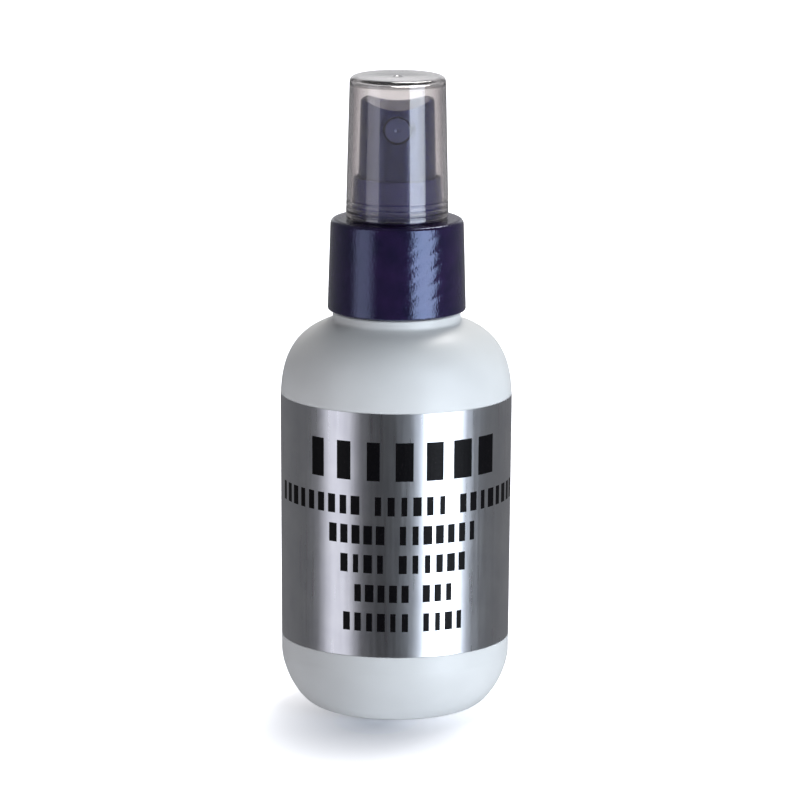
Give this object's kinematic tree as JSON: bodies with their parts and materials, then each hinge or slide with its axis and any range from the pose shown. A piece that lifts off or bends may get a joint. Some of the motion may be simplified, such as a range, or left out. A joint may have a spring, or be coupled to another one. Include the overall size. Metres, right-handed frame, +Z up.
{
  "type": "lens cleaning spray",
  "caption": "Round plastic bottle with domed shoulder and foil label, closed by a screw-on fine-mist finger pump under a clear pull-off cover.",
  "frame": {"origin": "centre of the bottle's base, on the surface that it stands on", "axes": "+Z up along the bottle's axis, -Y the way the nozzle sprays"},
  "size_m": [0.049, 0.049, 0.1348],
  "materials": {
    "bottle_polyethylene": "satin blow-moulded white",
    "metallised_film": "silver metallised label film, satin gloss",
    "navy_polypropylene": "polished dark navy",
    "smoky_clear_plastic": "clear with a faint smoky tint",
    "natural_polypropylene": "natural, slightly translucent",
    "gasket_foam": "soft white foam",
    "stainless_steel": "bright drawn wire and polished ball"
  },
  "bodies": {
    "bottle_body": {"bottle": "bottle_polyethylene", "label": "metallised_film"},
    "pump_body": {"neck_gasket": "gasket_foam", "pump_housing": "natural_polypropylene", "housing_cap": "natural_polypropylene", "dip_tube": "natural_polypropylene", "return_spring": "stainless_steel"},
    "collar_body": {"collar": "navy_polypropylene"},
    "cover_body": {"overcap": "smoky_clear_plastic"},
    "stem_body": {"upper_stem": "natural_polypropylene", "lower_stem": "natural_polypropylene"},
    "piston_body": {"piston": "natural_polypropylene"},
    "head_body": {"actuator": "navy_polypropylene", "nozzle_insert": "navy_polypropylene"},
    "ball_body": {"check_ball": "stainless_steel"}
  },
  "joints": [
    {"name": "pump_lift", "type": "slide", "parent": "bottle_body", "child": "pump_body", "axis": [0, 0, 1], "range_m": [0, 0.0048]},
    {"name": "collar_turn", "type": "hinge", "parent": "pump_body", "child": "collar_body", "pos_m": [0, 0, 0.0852], "axis": [0, 0, 1], "range_deg": [0, 540]},
    {"name": "overcap_pull", "type": "slide", "parent": "collar_body", "child": "cover_body", "axis": [0, 0, 1], "range_m": [0, 0.04]},
    {"name": "pump_press", "type": "slide", "parent": "pump_body", "child": "stem_body", "axis": [0, 0, -1], "range_m": [0, 0.005], "stiffness_N_per_m": 600, "springref_m": -0.003, "deforming": ["return_spring"]},
    {"name": "piston_slip", "type": "slide", "parent": "stem_body", "child": "piston_body", "axis": [0, 0, 1], "range_m": [0, 0.0008]},
    {"name": "head_turn", "type": "hinge", "parent": "stem_body", "child": "head_body", "pos_m": [0, 0, 0.11145], "axis": [0, 0, 1], "continuous": true},
    {"name": "ball_lift", "type": "slide", "parent": "pump_body", "child": "ball_body", "axis": [0, 0, 1], "range_m": [0, 0.0009]}
  ],
  "couplings": [
    {"joint": "pump_lift", "follows": "collar_turn", "m_per_rad": 0.00050532},
    {"joint": "piston_slip", "follows": "pump_press", "ratio": 0.14}
  ]
}
